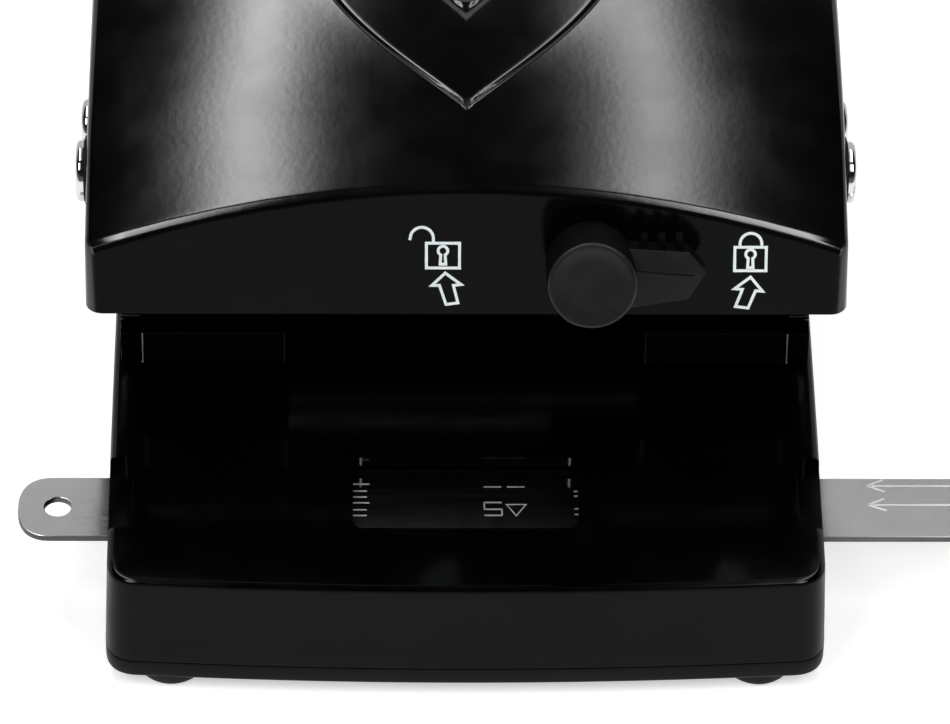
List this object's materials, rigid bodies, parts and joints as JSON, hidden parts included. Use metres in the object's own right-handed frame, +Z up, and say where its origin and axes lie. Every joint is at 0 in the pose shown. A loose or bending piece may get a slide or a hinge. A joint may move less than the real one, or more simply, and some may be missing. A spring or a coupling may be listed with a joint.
{
  "type": "desk hole punch",
  "caption": "Heavy duty two-hole desk punch: hooded lever with lock knob, blocks and sprung pins over a flat paper table, sliding guide bar, push-fit chip tray.",
  "frame": {"origin": "midway between the two punch pins, on the flat top face of the paper table", "axes": "+Z up out of the paper table, +Y away from the user towards the end of the handle, +X to the user's right, along the guide bar"},
  "size_m": [0.1925, 0.2424, 0.0858],
  "materials": {
    "enamel": "gloss black enamel",
    "lever_paint": "semi-gloss black paint with fine orange peel",
    "plastic": "satin moulded plastic",
    "rubber": "matt",
    "steel": "bright rolled steel",
    "spring_steel": "drawn wire and strip",
    "chrome": "polished chrome plate",
    "bronze": "sintered bronze"
  },
  "bodies": {
    "base": {"base_shell": "enamel", "punch_frame": "enamel", "guide_channel": "steel", "detent_spring": "spring_steel", "lock_catch": "steel", "left_guide_block": "enamel", "left_die": "steel", "left_return_spring": "spring_steel", "left_pivot_bush": "bronze", "left_block_screw": "steel", "right_guide_block": "enamel", "right_die": "steel", "right_return_spring": "spring_steel", "right_pivot_bush": "bronze", "right_block_screw": "steel", "frame_screw_1": "steel", "frame_screw_2": "steel", "frame_screw_3": "steel", "frame_screw_4": "steel"},
    "lever": {"lever_shell": "lever_paint", "handle_grip": "plastic", "pivot_shaft": "steel", "drive_shaft": "steel", "left_pivot_washer": "rubber", "left_pivot_head": "chrome", "left_drive_head": "chrome", "left_press_roller": "steel", "right_pivot_washer": "rubber", "right_pivot_head": "chrome", "right_drive_head": "chrome", "right_press_roller": "steel"},
    "left_punch": {"left_punch_pin": "steel", "left_spring_clip": "spring_steel"},
    "right_punch": {"right_punch_pin": "steel", "right_spring_clip": "spring_steel"},
    "lock": {"lock_knob": "plastic", "lock_shaft": "steel", "lock_cam": "steel", "knob_clip": "spring_steel"},
    "guide": {"guide_bar": "steel", "guide_stop": "plastic"},
    "tray": {"chip_tray": "plastic", "front_left_foot": "rubber", "front_right_foot": "rubber", "rear_left_foot": "rubber", "rear_right_foot": "rubber"}
  },
  "joints": [
    {"name": "lever_pivot", "type": "hinge", "parent": "base", "child": "lever", "pos_m": [0, -0.0169, 0.036], "axis": [1, 0, 0], "range_deg": [0, 34]},
    {"name": "left_pin_slide", "type": "slide", "parent": "base", "child": "left_punch", "axis": [0, 0, 1], "range_m": [0, 0.0102], "deforming": ["left_return_spring"]},
    {"name": "right_pin_slide", "type": "slide", "parent": "base", "child": "right_punch", "axis": [0, 0, 1], "range_m": [0, 0.0102], "deforming": ["right_return_spring"]},
    {"name": "lock_turn", "type": "hinge", "parent": "lever", "child": "lock", "pos_m": [0.0184, -0.03444, 0.0347], "axis": [0, -0.9063, 0.4226], "range_deg": [0, 180]},
    {"name": "guide_bar_slide", "type": "slide", "parent": "base", "child": "guide", "axis": [1, 0, 0], "range_m": [-0.058, 0.045]},
    {"name": "tray_snap", "type": "slide", "parent": "base", "child": "tray", "axis": [0, 0, -1], "range_m": [0, 0.025]}
  ],
  "couplings": [
    {"joint": "left_pin_slide", "follows": "lever_pivot", "m_per_rad": 0.017172},
    {"joint": "right_pin_slide", "follows": "lever_pivot", "m_per_rad": 0.017172}
  ]
}
